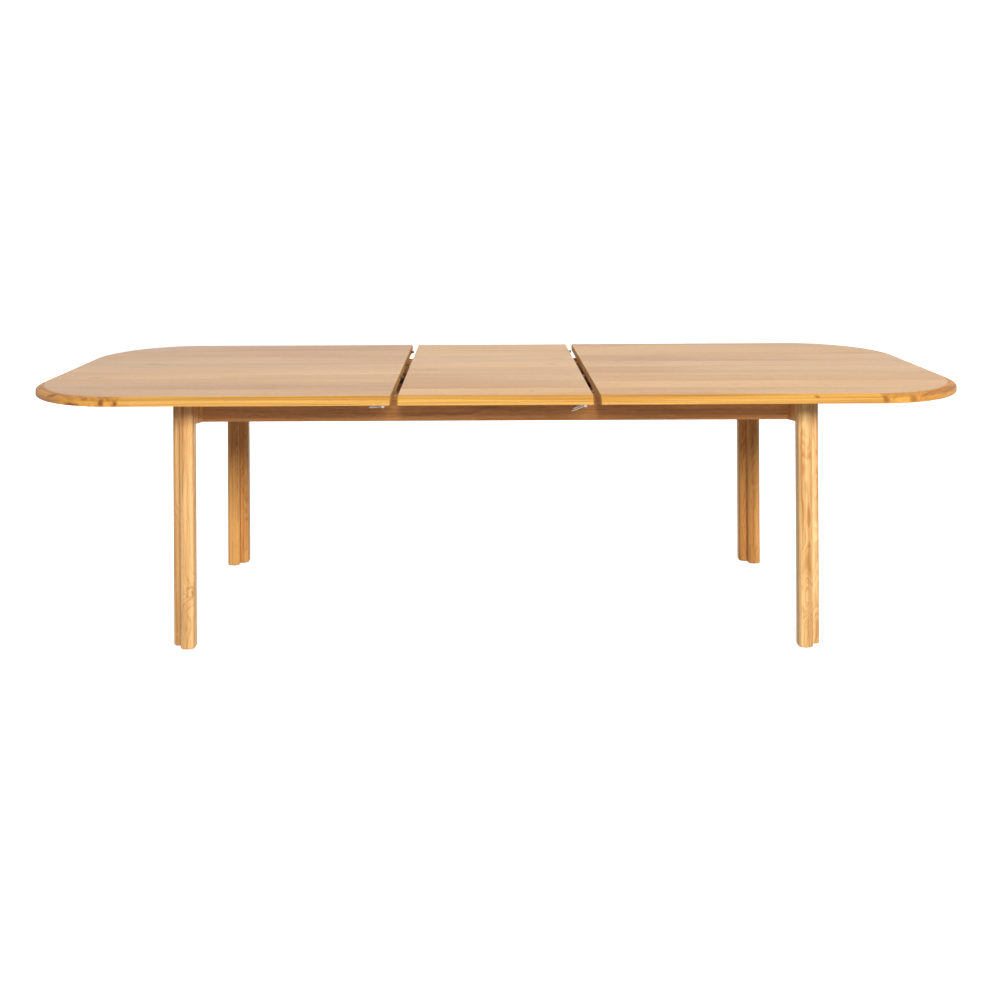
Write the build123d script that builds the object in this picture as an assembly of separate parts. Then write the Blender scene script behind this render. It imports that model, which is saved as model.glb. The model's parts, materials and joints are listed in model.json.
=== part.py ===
from build123d import *
import os
from math import acos, cos, pi, radians, sin, sqrt, tan

# Extendable oak dining table, drawn out, with its loose leaf lying in the opening.
# The origin is on the floor under the middle of the table. +X runs along the table,
# +Y towards its rear side and +Z up. Everything is in millimetres.

# ---- driving dimensions ----
table_height = 750.0
table_depth = 1000.0
top_thickness = 24.0
end_top_length = 1080.0
leaf_length = 540.0
open_gap = 22.0
corner_radius = 305.0

# Solid lipping around the tops: a wide bevel above an upright edge.
lipping_width = 24.0
# How far the curved pieces of the lipping run on along the straight sides.
corner_tail = {"left": 26.0, "right": 4.0}
bevel_width = 21.0
bevel_drop = 9.5
bevel_softening = 3.0
edge_softening = 1.5

# Legs: two square posts grown together on a diagonal.
leg_centre_x = 902.0
leg_centre_y = 341.0
leg_width = 68.0
post_width = 42.0
post_crown = 0.9
post_corner_radius = 11.0
foot_softening = 4.0
glide_height = 2.0
glide_radius = 14.0

# Frame: aprons between the legs, guide rails, cross rails.
apron_thickness = 22.0
apron_bottom = 645.0
apron_softening = 2.0
frame_clearance = 2.0
apron_setback = 18.0
apron_end_from_leg = 49.0
block_start_from_leg = 11.0
guide_thickness = 28.0
guide_bottom = 668.0
guide_top = 718.0
guide_end = 846.0
groove_bottom = 688.0
groove_top = 702.0
groove_depth = 12.0
cross_rail_thickness = 22.0
side_rail_centre = 330.0
side_rail_width = 130.0
middle_rail_width = 90.0
cross_rail_screw_length = 46.0
cross_rail_screw_inset = 8.0
cross_rail_screw_from_side = 20.0

# Runners under the tops.
runner_thickness = 26.0
runner_bottom = 682.0
runner_outer_end = 1140.0
sliding_clearance = 0.3
side_clearance = 0.5
notch_clearance = 2.0
joint_setback = 2.0
runner_screw_head = 700.0
runner_screw_length = 38.0
runner_screw_columns = (330.0, 590.0, 850.0, 1110.0)

# Battens under the tops, and the stops that they come up against.
batten_height = 20.0
batten_width = 40.0
inner_batten_start = 330.7
middle_batten_start = 700.0
outer_batten_start = 1250.0
inner_batten_half_span = 240.0
outer_batten_half_span = 300.0
batten_screw_length = 30.0
batten_screw_rows = (-192.0, 0.0, 192.0)
stop_length = 20.0
stop_width = 30.0
stop_height = 48.0
stop_y = 205.0

# Rack and pinion that make the two tops move together.
gear_module = 2.5
pinion_teeth = 24
pressure_angle = radians(20)
backlash = 0.3
pinion_bottom = 689.0
pinion_top = 705.0
rack_bottom = 690.0
rack_top = 704.0
rack_back_width = 9.0
rack_overrun = 25.0
rack_screw_columns = (340.0, 360.0)
rack_screw_length = 28.0
dedendum_per_module = 1.25
involute_steps = 5
pinion_recess_depth = 3.0
pinion_rim = 4.0
pinion_hub_radius = 12.0
gear_plate_size = 80.0
gear_plate_thickness = 3.0
gear_plate_screw_inset = 10.0
gear_plate_screw_length = 18.0
axle_radius = 4.0
axle_end_cover = 4.0
axle_head_height = 4.5
boss_radius = 8.0
washer_thickness = 1.2
running_clearance = 0.06

# Dowels between the tops and the leaf.
dowel_radius = 5.0
dowel_stand_out = 12.0
dowel_depth = 24.0
dowel_rows = (-380.0, -120.0, 120.0, 380.0)
dowel_tightness = 0.02
dowel_end_space = 1.0

# Wire clips and their catches.
clip_row = 460.0
wire_radius = 1.3
clip_half_width = 11.0
clip_reach = 42.0
leaf_clip_hang_angle = radians(23)
left_clip_hang_angle = radians(6)
clip_pivot_setback = 20.0
clip_pivot_drop = 7.0
clip_bend_radius = 2.2
clip_corner_allowance = 0.2
pin_half_length = 15.8
plate_thickness = 1.5
plate_length = 26.0
plate_setback = 1.0
clip_plate_half_width = 19.0
catch_plate_half_width = 14.0
ear_thickness = 2.0
ear_inner = 13.3
ear_half_width = 4.0
ear_drop = 11.0
tongue_setback = 14.0
tongue_drop = 7.2
tongue_half_width = 6.0
tongue_lip = 5.0
clip_screw_length = 13.0
clip_screw_inset = 7.0
catch_screw_inset = 5.0
catch_screw_offset = 8.0

# Fasteners: (shank radius, head radius, head height).
wood_screw = (2.25, 4.5, 2.6)
small_screw = (1.6, 3.0, 1.4)
recess_width_share = 0.28
recess_length_share = 1.1
recess_depth_share = 0.6
hexagon = 6
bolt_radius = 4.0
bolt_past_leg_centre = 4.0
bolt_drilling_clearance = 0.2
bolt_head_radius = 7.5
bolt_head_height = 5.5
bracket_thickness = 2.5
bracket_bottom = 648.0
bracket_top = 666.0
bracket_from_leg = 95.0
bracket_flange = 20.0
bracket_blank_length = 200.0
bracket_screw_length = 16.0
pad_height = 1.8
pad_size = (40.0, 18.0)
pad_x = 200.0

# Cutters reach this far past what they cut, and corners are found within it.
overcut = 1.0

# ---- derived dimensions ----
top_bottom = table_height - top_thickness
frame_top = top_bottom - frame_clearance
half_depth = table_depth / 2
half_leaf = leaf_length / 2
joint_x = half_leaf + open_gap
end_x = joint_x + end_top_length
post_offset = (leg_width - post_width) / 2
apron_outer_y = leg_centre_y - apron_setback
apron_inner_y = apron_outer_y - apron_thickness
end_apron_outer_x = leg_centre_x - apron_setback
end_apron_inner_x = end_apron_outer_x - apron_thickness
apron_half_length = leg_centre_x - apron_end_from_leg
end_apron_half_length = leg_centre_y - apron_end_from_leg
guide_inner_y = apron_inner_y - guide_thickness
runner_outer_y = guide_inner_y - side_clearance
runner_inner_y = runner_outer_y - runner_thickness
tongue_outer_y = guide_inner_y + groove_depth - side_clearance
cross_rail_bottom = guide_bottom - cross_rail_thickness
batten_bottom = top_bottom - batten_height
stop_x = inner_batten_start + batten_width + sliding_clearance
pitch_radius = gear_module * pinion_teeth / 2
rack_pitch = pi * gear_module
dedendum = dedendum_per_module * gear_module
bolt_height = (bracket_bottom + bracket_top) / 2
bolt_length = bracket_from_leg + bolt_past_leg_centre
clip_pivot_z = top_bottom - clip_pivot_drop
plate_bottom = top_bottom - plate_thickness
dowel_height = table_height - top_thickness / 2


# ---- small helpers ----
def block(x, y, z):
    """A box from three (low, high) pairs."""
    size = [high - low for low, high in (x, y, z)]
    centre = [(high + low) / 2 for low, high in (x, y, z)]
    return Pos(*centre) * Box(*size)


def bar(start, direction, length, radius):
    """A round bar from a point along a direction."""
    return extrude(Plane(origin=start, z_dir=direction) * Circle(radius), amount=length)


def to_left(shape):
    return shape.mirror(Plane.YZ)


def to_rear(shape):
    return shape.mirror(Plane.XZ)


def turned_half(shape):
    """The shape turned by half a turn about the table's upright middle axis."""
    return Rot(0, 0, 180) * shape


def group(shapes):
    """Separate pieces kept in one node."""
    return Compound(children=[solid for shape in shapes for solid in shape.solids()])


def without(shape, cutters):
    for cutter in cutters:
        shape = shape - cutter
    return shape


def save(name, shape):
    export_step(shape, f"parts/{name}.step")


def screw(point, direction, length, kind):
    """A countersunk screw with a cross recess, its head's flat face at the point."""
    shank_radius, head_radius, head_height = kind
    head = Pos(0, 0, head_height / 2) * Cone(head_radius, shank_radius, head_height)
    shank = Pos(0, 0, length / 2) * Cylinder(shank_radius, length)
    width = head_radius * recess_width_share
    length_across = head_radius * recess_length_share
    depth = 2 * head_height * recess_depth_share
    slot = Box(length_across, width, depth) + Box(width, length_across, depth)
    return Plane(origin=point, z_dir=direction).location * (head + shank - slot)


def screw_hole(point, direction, length, kind):
    """The space that a screw fills, with no recess."""
    shank_radius, head_radius, head_height = kind
    head = Pos(0, 0, head_height / 2) * Cone(head_radius, shank_radius, head_height)
    shank = Pos(0, 0, length / 2) * Cylinder(shank_radius, length)
    return Plane(origin=point, z_dir=direction).location * (head + shank)


# ---- tabletop ----
def lipping_profile():
    """Section of the lipping: inner face on the left, bevel and upright edge on the right."""
    corners = [
        (0, 0),
        (lipping_width, 0),
        (lipping_width, top_thickness - bevel_drop),
        (lipping_width - bevel_width, top_thickness),
        (0, top_thickness),
    ]
    face = make_face(Polyline(*corners, close=True))

    def outer_corner(section, pick):
        outer = [v for v in section.vertices() if v.X > lipping_width - overcut]
        return pick(outer, key=lambda v: v.Y)

    face = fillet(outer_corner(face, min), edge_softening)
    return fillet(outer_corner(face, max), bevel_softening)


def straight_lipping(start_x, end_x_here):
    """Lipping along the front side between two places."""
    origin = (end_x_here, -half_depth + lipping_width, top_bottom)
    plane = Plane(origin=origin, x_dir=(0, -1, 0), z_dir=(-1, 0, 0))
    return extrude(plane * lipping_profile(), amount=end_x_here - start_x)


def corner_lipping(tail):
    """The quarter ring at the front right corner, with a straight tail along the front side."""
    centre_x = end_x - corner_radius
    centre_y = -half_depth + corner_radius
    start_y = centre_y - corner_radius + lipping_width
    origin = (centre_x, start_y, top_bottom)
    plane = Plane(origin=origin, x_dir=(0, -1, 0), z_dir=(-1, 0, 0))
    axis = Axis((centre_x, centre_y, 0), (0, 0, 1))
    ring = revolve(plane * lipping_profile(), axis=axis, revolution_arc=90)
    return ring + extrude(plane * lipping_profile(), amount=tail)


def end_lipping():
    """The straight piece across the right end."""
    half_span = half_depth - corner_radius
    origin = (end_x - lipping_width, half_span, top_bottom)
    plane = Plane(origin=origin, x_dir=(1, 0, 0), z_dir=(0, -1, 0))
    return extrude(plane * lipping_profile(), amount=2 * half_span)


def end_field():
    """The flat board of the right end top, inside its lipping."""
    half_span = half_depth - lipping_width
    outer = end_x - lipping_width
    corners = [
        (joint_x, -half_span),
        (outer, -half_span),
        (outer, half_span),
        (joint_x, half_span),
    ]
    outline = make_face(Polyline(*corners, close=True))
    rounded = [v for v in outline.vertices() if v.X > outer - overcut]
    outline = fillet(rounded, corner_radius - lipping_width)
    return extrude(Pos(0, 0, top_bottom) * outline, amount=top_thickness)


def leaf_field():
    half_span = half_depth - lipping_width
    return block((-half_leaf, half_leaf), (-half_span, half_span), (top_bottom, table_height))


def dowels(edge_x, outward):
    """Four dowels standing out of a joint edge. outward is +1 or -1 along X."""
    start_x = edge_x - outward * dowel_depth
    return [
        bar((start_x, y, dowel_height), (outward, 0, 0), dowel_depth + dowel_stand_out, dowel_radius)
        for y in dowel_rows
    ]


# Radius and depth of the two kinds of dowel drilling.
glued_socket = (dowel_radius + dowel_tightness, dowel_depth)
loose_socket = (dowel_radius + running_clearance, dowel_stand_out + dowel_end_space)


def dowel_sockets(edge_x, inward, radius, depth):
    """The drillings for four dowels. inward is the way into the board along X."""
    return [bar((edge_x, y, dowel_height), (inward, 0, 0), depth, radius) for y in dowel_rows]


# ---- runners, battens and racks ----
def front_runner():
    """The front runner of the right top, with the tongue that rides in the guide's groove."""
    span = (joint_x + joint_setback, runner_outer_end)
    body = block(span, (-runner_outer_y, -runner_inner_y), (runner_bottom, top_bottom))
    tongue_z = (groove_bottom + sliding_clearance, groove_top - sliding_clearance)
    tongue = block(span, (-tongue_outer_y, -runner_outer_y + overcut), tongue_z)
    lower_end = body.edges().filter_by(Axis.X).sort_by(Axis.Z)[:2]
    return fillet(lower_end, apron_softening) + tongue


def runner_screw_places():
    middle = (runner_outer_y + runner_inner_y) / 2
    rows = (-middle, middle)
    return [(x, y, runner_screw_head) for x in runner_screw_columns for y in rows]


def runner_counterbores():
    depth = runner_screw_head - runner_bottom
    radius = wood_screw[1] + side_clearance
    starts = [(x, y, runner_bottom) for x, y, _ in runner_screw_places()]
    return [bar(start, (0, 0, 1), depth, radius) for start in starts]


def battens():
    """Three battens across the underside of the right top."""
    rows = (
        (inner_batten_start, inner_batten_half_span),
        (middle_batten_start, inner_batten_half_span),
        (outer_batten_start, outer_batten_half_span),
    )
    pieces = []
    for start, half_span in rows:
        height = (batten_bottom, top_bottom)
        piece = block((start, start + batten_width), (-half_span, half_span), height)
        lower = piece.edges().filter_by(Axis.Y).sort_by(Axis.Z)[:2]
        pieces.append(fillet(lower, apron_softening))
    return pieces


def batten_screw_places():
    starts = (inner_batten_start, middle_batten_start, outer_batten_start)
    middles = [start + batten_width / 2 for start in starts]
    return [(x, y, batten_bottom) for x in middles for y in batten_screw_rows]


def rack():
    """The right top's rack: a toothed strip on the front side of the pinion, with a raised foot."""
    addendum = gear_module
    tip_y = -pitch_radius + addendum
    root_y = -pitch_radius - dedendum
    back_y = root_y - rack_back_width
    low_x = -rack_overrun
    high_x = inner_batten_start + batten_width
    strip = block((low_x, high_x), (back_y, root_y), (rack_bottom, rack_top))
    foot = block((inner_batten_start, high_x), (back_y, root_y), (rack_top, batten_bottom))
    half_at_pitch = rack_pitch / 4 - backlash / 2
    half_at_tip = half_at_pitch - addendum * tan(pressure_angle)
    half_at_root = half_at_pitch + dedendum * tan(pressure_angle)
    first = int((low_x + rack_pitch) / rack_pitch) - 1
    last = int((joint_x + rack_pitch) / rack_pitch)
    teeth = []
    for index in range(first, last + 1):
        middle = (index + 0.5) * rack_pitch
        if middle - half_at_root < low_x:
            continue
        outline = [
            (middle - half_at_root, root_y),
            (middle + half_at_root, root_y),
            (middle + half_at_tip, tip_y),
            (middle - half_at_tip, tip_y),
        ]
        tooth = make_face(Polyline(*outline, close=True))
        teeth.append(extrude(Pos(0, 0, rack_bottom) * tooth, amount=rack_top - rack_bottom))
    return strip + foot + teeth


def rack_screw_places():
    middle = -pitch_radius - dedendum - rack_back_width / 2
    return [(x, middle, rack_bottom) for x in rack_screw_columns]


def pinion():
    """A spur gear with involute teeth, one of them pointing straight at each rack."""
    base = pitch_radius * cos(pressure_angle)
    tip = pitch_radius + gear_module
    root = pitch_radius - dedendum
    thickness_angle = (pi / 2 * gear_module - backlash / 2) / pitch_radius / 2
    involute_at_pitch = tan(pressure_angle) - pressure_angle

    def half_angle(radius):
        angle = acos(min(1.0, base / radius))
        return thickness_angle + involute_at_pitch - (tan(angle) - angle)

    shares = [step / involute_steps for step in range(involute_steps + 1)]
    radii = [base + (tip - base) * share for share in shares]
    points = []
    for tooth in range(pinion_teeth):
        middle = 2 * pi * tooth / pinion_teeth
        points.append((root, middle - half_angle(base)))
        points += [(radius, middle - half_angle(radius)) for radius in radii]
        points += [(radius, middle + half_angle(radius)) for radius in reversed(radii)]
        points.append((root, middle + half_angle(base)))
    outline = [(radius * cos(angle), radius * sin(angle)) for radius, angle in points]
    height = pinion_top - pinion_bottom
    face = make_face(Polyline(*outline, close=True))
    gear = extrude(Pos(0, 0, pinion_bottom) * face, amount=height)
    bore = bar((0, 0, pinion_bottom), (0, 0, 1), height, axle_radius + running_clearance)
    recess_floor = (0, 0, pinion_top - pinion_recess_depth)
    recess = bar(recess_floor, (0, 0, 1), pinion_recess_depth, root - pinion_rim)
    hub = bar(recess_floor, (0, 0, 1), pinion_recess_depth, pinion_hub_radius)
    return gear - bore - (recess - hub)


def gear_plate():
    """Steel plate with a boss that carries the pinion."""
    half = gear_plate_size / 2
    top = guide_bottom + gear_plate_thickness
    plate = block((-half, half), (-half, half), (guide_bottom, top))
    corners = plate.edges().filter_by(Axis.Z)
    boss = bar((0, 0, top), (0, 0, 1), pinion_bottom - sliding_clearance - top, boss_radius)
    return fillet(corners, boss_radius) + boss


def gear_plate_screw_places():
    offset = gear_plate_size / 2 - gear_plate_screw_inset
    height = guide_bottom + gear_plate_thickness
    return [(x, y, height) for x in (-offset, offset) for y in (-offset, offset)]


def pinion_axle():
    """Bolt down through the pinion, the boss and the middle rail."""
    head_bottom = pinion_top + sliding_clearance
    low = cross_rail_bottom + axle_end_cover
    shank = bar((0, 0, low), (0, 0, 1), head_bottom - low, axle_radius)
    washer = bar((0, 0, head_bottom), (0, 0, 1), washer_thickness, boss_radius)
    head_face = Pos(0, 0, head_bottom + washer_thickness) * RegularPolygon(bolt_head_radius, hexagon)
    return shank + washer + extrude(head_face, amount=axle_head_height)


# ---- legs and frame ----
def crowned_square():
    """A square with gently bulging sides and rounded corners."""
    half = post_width / 2
    corner = half - post_crown
    sides = [
        ThreePointArc((-corner, -corner), (0, -half), (corner, -corner)),
        ThreePointArc((corner, -corner), (half, 0), (corner, corner)),
        ThreePointArc((corner, corner), (0, half), (-corner, corner)),
        ThreePointArc((-corner, corner), (-half, 0), (-corner, -corner)),
    ]
    face = make_face(Wire(sides))
    return fillet(face.vertices(), post_corner_radius)


def post_centres():
    """Middle of the front right leg's side post, then of its end post."""
    return (
        (leg_centre_x - post_offset, -leg_centre_y - post_offset),
        (leg_centre_x + post_offset, -leg_centre_y + post_offset),
    )


def leg_section():
    """Plan of the front right leg: one post towards the front, one towards the end."""
    side_post, end_post = (Pos(x, y) * crowned_square() for x, y in post_centres())
    return side_post + end_post


def leg():
    height = frame_top - glide_height
    post = extrude(Pos(0, 0, glide_height) * leg_section(), amount=height)
    foot_edges = post.faces().sort_by(Axis.Z)[0].edges()
    return fillet(foot_edges, foot_softening)


def glides():
    """Two discs under the front right leg, one under each post."""
    return [bar((x, y, 0), (0, 0, 1), glide_height, glide_radius) for x, y in post_centres()]


def corner_block():
    """Block in the leg's inner corner that both aprons butt against, front right."""
    x, y = leg_centre_x, -leg_centre_y
    near, far = block_start_from_leg, apron_end_from_leg
    inner = apron_setback + apron_thickness
    half = leg_width / 2
    plan = [
        (x - half, y - near),
        (x - far, y + apron_setback),
        (x - far, y + inner),
        (x - inner, y + far),
        (x - apron_setback, y + far),
        (x + near, y + half),
        (x + near, y),
        (x, y - near),
    ]
    height = frame_top - apron_bottom
    face = make_face(Polyline(*plan, close=True))
    piece = extrude(Pos(0, 0, apron_bottom) * face, amount=height)
    leg_core = extrude(Pos(0, 0, glide_height) * leg_section(), amount=frame_top)
    rest = piece - leg_core
    return rest.solids().sort_by(SortBy.VOLUME)[-1]


diagonal = (1 / sqrt(2), -1 / sqrt(2), 0)


def bolt_start():
    """Where the corner bolt's head meets the bracket, front right."""
    reach = bracket_from_leg + bracket_thickness / 2
    return (leg_centre_x - reach * diagonal[0], -leg_centre_y - reach * diagonal[1], bolt_height)


def corner_bolt():
    """Hexagon bolt from the corner bracket through the block into the leg."""
    shank = bar(bolt_start(), diagonal, bolt_length, bolt_radius)
    plane = Plane(origin=bolt_start(), z_dir=tuple(-part for part in diagonal))
    head = extrude(plane * RegularPolygon(bolt_head_radius, hexagon), amount=bolt_head_height)
    return shank + head


def bolt_hole(radius):
    return bar(bolt_start(), diagonal, bolt_length, radius)


def bracket_bends():
    """Where the front right bracket meets the front apron along X, and the end apron along Y."""
    middle_x = leg_centre_x - bracket_from_leg * diagonal[0]
    middle_y = -leg_centre_y - bracket_from_leg * diagonal[1]
    return middle_x - (middle_y + apron_inner_y), middle_y + (end_apron_inner_x - middle_x)


def corner_bracket():
    """Bent steel plate across the inside of the front right corner."""
    height = (bracket_bottom, bracket_top)
    middle_x = leg_centre_x - bracket_from_leg * diagonal[0]
    middle_y = -leg_centre_y - bracket_from_leg * diagonal[1]
    blank = Box(bracket_blank_length, bracket_thickness, bracket_top - bracket_bottom)
    plate = Pos(middle_x, middle_y, bolt_height) * Rot(0, 0, 45) * blank
    inside = block((0, end_apron_inner_x), (-apron_inner_y, 0), height)
    plate = plate & inside
    reach_x, reach_y = bracket_bends()
    side_y = (-apron_inner_y, -apron_inner_y + bracket_thickness)
    end_x_pair = (end_apron_inner_x - bracket_thickness, end_apron_inner_x)
    side_flange = block((reach_x - bracket_flange, reach_x + bracket_thickness), side_y, height)
    end_flange = block(end_x_pair, (reach_y - bracket_thickness, reach_y + bracket_flange), height)
    return plate + side_flange + end_flange - bolt_hole(bolt_radius + running_clearance)


def bracket_screws_front_right():
    """Two wood screws: one into the side apron, one into the end apron."""
    reach_x, reach_y = bracket_bends()
    half_flange = bracket_flange / 2
    side_point = (reach_x - half_flange, -apron_inner_y + bracket_thickness, bolt_height)
    end_point = (end_apron_inner_x - bracket_thickness, reach_y + half_flange, bolt_height)
    return [(side_point, (0, -1, 0)), (end_point, (1, 0, 0))]


def front_apron():
    piece = block(
        (-apron_half_length, apron_half_length),
        (-apron_outer_y, -apron_inner_y),
        (apron_bottom, frame_top),
    )
    lower = piece.edges().filter_by(Axis.X).sort_by(Axis.Z)[:2]
    return fillet(lower, apron_softening)


def right_end_apron():
    """End apron with a notch at each end of its top edge for the runners."""
    piece = block(
        (end_apron_inner_x, end_apron_outer_x),
        (-end_apron_half_length, end_apron_half_length),
        (apron_bottom, frame_top),
    )
    lower = piece.edges().filter_by(Axis.Y).sort_by(Axis.Z)[:2]
    piece = fillet(lower, apron_softening)
    outer = tongue_outer_y + notch_clearance
    inner = runner_inner_y - notch_clearance
    span = (end_apron_inner_x - overcut, end_apron_outer_x + overcut)
    height = (runner_bottom - notch_clearance, frame_top + overcut)
    notches = [block(span, (-outer, -inner), height), block(span, (inner, outer), height)]
    return without(piece, notches)


def front_guide():
    """Rail on the inside of the front apron, grooved for the runners' tongues."""
    rail = block(
        (-guide_end, guide_end),
        (-apron_inner_y, -guide_inner_y),
        (guide_bottom, guide_top),
    )
    groove = block(
        (-guide_end - overcut, guide_end + overcut),
        (-guide_inner_y - groove_depth, -guide_inner_y + overcut),
        (groove_bottom, groove_top),
    )
    return rail - groove


def cross_rail(centre_x, width):
    """Flat rail from apron to apron, under the guide rails."""
    half = width / 2
    return block(
        (centre_x - half, centre_x + half),
        (-apron_inner_y, apron_inner_y),
        (cross_rail_bottom, guide_bottom),
    )


def cross_rail_screw_places(centre_x, width):
    row = apron_inner_y - cross_rail_screw_inset
    reach = width / 2 - cross_rail_screw_from_side
    columns = (centre_x - reach, centre_x + reach)
    return [(x, y, cross_rail_bottom) for x in columns for y in (-row, row)]


def stops():
    """Blocks standing on the side rails that stop the inner battens when the table is open."""
    span_z = (guide_bottom, guide_bottom + stop_height)
    pieces = []
    for side_y in (-stop_y, stop_y):
        y = (side_y - stop_width / 2, side_y + stop_width / 2)
        right = block((stop_x, stop_x + stop_length), y, span_z)
        pieces += [right, to_left(right)]
    return pieces


def leaf_pads():
    """Felt pads on the side aprons that the leaf lies on."""
    middle = (apron_outer_y + apron_inner_y) / 2
    pieces = []
    for x in (-pad_x, pad_x):
        for y in (-middle, middle):
            long_side = (x - pad_size[0] / 2, x + pad_size[0] / 2)
            short_side = (y - pad_size[1] / 2, y + pad_size[1] / 2)
            pieces.append(block(long_side, short_side, (frame_top, frame_top + pad_height)))
    return pieces


# ---- clips ----
def wire_clip(edge_x, hang_angle):
    """Sprung wire loop hanging from its pivot just inside a joint edge, front side."""
    pivot_x = edge_x - clip_pivot_setback
    reach = clip_reach - wire_radius
    tip_x = pivot_x - reach * cos(hang_angle)
    tip_z = clip_pivot_z - reach * sin(hang_angle)
    y = -clip_row
    route = [
        (pivot_x, y - pin_half_length, clip_pivot_z),
        (pivot_x, y - clip_half_width, clip_pivot_z),
        (tip_x, y - clip_half_width, tip_z),
        (tip_x, y + clip_half_width, tip_z),
        (pivot_x, y + clip_half_width, clip_pivot_z),
        (pivot_x, y + pin_half_length, clip_pivot_z),
    ]
    end_radius = clip_half_width - clip_corner_allowance
    radii = [clip_bend_radius, end_radius, end_radius, clip_bend_radius]
    path = FilletPolyline(*route, radius=radii)
    section = Plane(origin=route[0], z_dir=(0, 1, 0)) * Circle(wire_radius)
    return sweep(section, path=path)


def clip_plate(edge_x):
    """Steel plate with two ears that hold a clip's ends, front side."""
    plate_x = (edge_x - plate_setback - plate_length, edge_x - plate_setback)
    plate_y = (-clip_row - clip_plate_half_width, -clip_row + clip_plate_half_width)
    plate = block(plate_x, plate_y, (plate_bottom, top_bottom))
    pivot_x = edge_x - clip_pivot_setback
    ears = []
    for side in (-1, 1):
        inner = -clip_row + side * ear_inner
        outer = -clip_row + side * (ear_inner + ear_thickness)
        ear_x = (pivot_x - ear_half_width, pivot_x + ear_half_width)
        ears.append(block(ear_x, sorted((inner, outer)), (top_bottom - ear_drop, plate_bottom)))
    start = (pivot_x, -clip_row - clip_plate_half_width, clip_pivot_z)
    hole = bar(start, (0, 1, 0), 2 * clip_plate_half_width, wire_radius + running_clearance)
    return plate + ears[0] + ears[1] - hole


def clip_screw_places(edge_x):
    x = edge_x - plate_setback - clip_screw_inset
    rows = (-clip_row - clip_half_width, -clip_row + clip_half_width)
    return [(x, y, plate_bottom) for y in rows]


def catch(edge_x):
    """Catch plate with a tongue that the neighbour's wire clip hooks round, front side."""
    plate_x = (edge_x + plate_setback, edge_x + plate_setback + plate_length)
    plate_y = (-clip_row - catch_plate_half_width, -clip_row + catch_plate_half_width)
    plate = block(plate_x, plate_y, (plate_bottom, top_bottom))
    tongue_x = edge_x + tongue_setback
    tongue_y = (-clip_row - tongue_half_width, -clip_row + tongue_half_width)
    tongue_bottom = top_bottom - tongue_drop
    tongue = block((tongue_x, tongue_x + ear_thickness), tongue_y, (tongue_bottom, plate_bottom))
    lip_z = (tongue_bottom, tongue_bottom + ear_thickness)
    lip = block((tongue_x, tongue_x + tongue_lip), tongue_y, lip_z)
    return plate + tongue + lip


def catch_screw_places(edge_x):
    x = edge_x + plate_setback + plate_length - catch_screw_inset
    rows = (-clip_row - catch_screw_offset, -clip_row + catch_screw_offset)
    return [(x, y, plate_bottom) for y in rows]


def both_sides(places):
    """The places and their mirror images on the rear side."""
    return places + [(x, -y, z) for x, y, z in places]


def upward(places, length, kind, maker):
    return [maker(place, (0, 0, 1), length, kind) for place in places]


# ---- assembly of each body ----
def top_fasteners(hardware_places, rack_places, maker):
    """Every screw of the right end top, or the space it fills."""
    return (
        upward(runner_screw_places(), runner_screw_length, wood_screw, maker)
        + upward(batten_screw_places(), batten_screw_length, wood_screw, maker)
        + upward(rack_places, rack_screw_length, wood_screw, maker)
        + upward(hardware_places, clip_screw_length, small_screw, maker)
    )


def write_end_top(side, place, hardware_places, rack_places):
    """Writes what both end tops have. place moves a right-hand piece to its own side."""
    holes = top_fasteners(hardware_places, rack_places, screw_hole)
    field = end_field()
    socket = glued_socket if side == "left" else loose_socket
    field = without(field, dowel_sockets(joint_x, 1, *socket))
    save(f"{side}_field_board", place(without(field, holes)))
    tail = corner_tail[side]
    front_lipping = straight_lipping(joint_x, end_x - corner_radius - tail)
    save(f"{side}_lipping_front", place(front_lipping))
    save(f"{side}_lipping_rear", place(to_rear(front_lipping)))
    save(f"{side}_lipping_front_corner", place(corner_lipping(tail)))
    save(f"{side}_lipping_rear_corner", place(to_rear(corner_lipping(tail))))
    save(f"{side}_lipping_end", place(end_lipping()))
    cutters = holes + runner_counterbores()
    front = without(front_runner(), cutters)
    save(f"{side}_runners", group([place(front), place(to_rear(front))]))
    save(f"{side}_battens", group([place(without(piece, holes)) for piece in battens()]))
    screws = top_fasteners(hardware_places, rack_places, screw)
    save(f"{side}_screws", group([place(piece) for piece in screws]))


def write_right_top():
    places = both_sides(catch_screw_places(joint_x))
    write_end_top("right", lambda shape: shape, places, rack_screw_places())
    catches = without(catch(joint_x), upward(places, clip_screw_length, small_screw, screw_hole))
    save("right_catches", group([catches, to_rear(catches)]))
    holes = upward(rack_screw_places(), rack_screw_length, wood_screw, screw_hole)
    save("right_rack", without(rack(), holes))


def write_left_top():
    """The left top is the right one mirrored, apart from its rack, dowels and clips."""
    left_edge = -joint_x
    places = both_sides(clip_screw_places(left_edge))
    mirrored_places = [(-x, y, z) for x, y, z in places]
    rear_rack_places = [(x, -y, z) for x, y, z in rack_screw_places()]
    write_end_top("left", to_left, mirrored_places, rear_rack_places)
    plate_holes = upward(places, clip_screw_length, small_screw, screw_hole)
    plate = without(clip_plate(left_edge), plate_holes)
    save("left_clip_plates", group([plate, to_rear(plate)]))
    holes = upward(rack_screw_places(), rack_screw_length, wood_screw, screw_hole)
    save("left_rack", turned_half(without(rack(), holes)))
    save("left_dowels", group(dowels(left_edge, 1)))
    front_clip = wire_clip(left_edge, left_clip_hang_angle)
    save("left_clip_front", front_clip)
    save("left_clip_rear", to_rear(front_clip))


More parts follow.
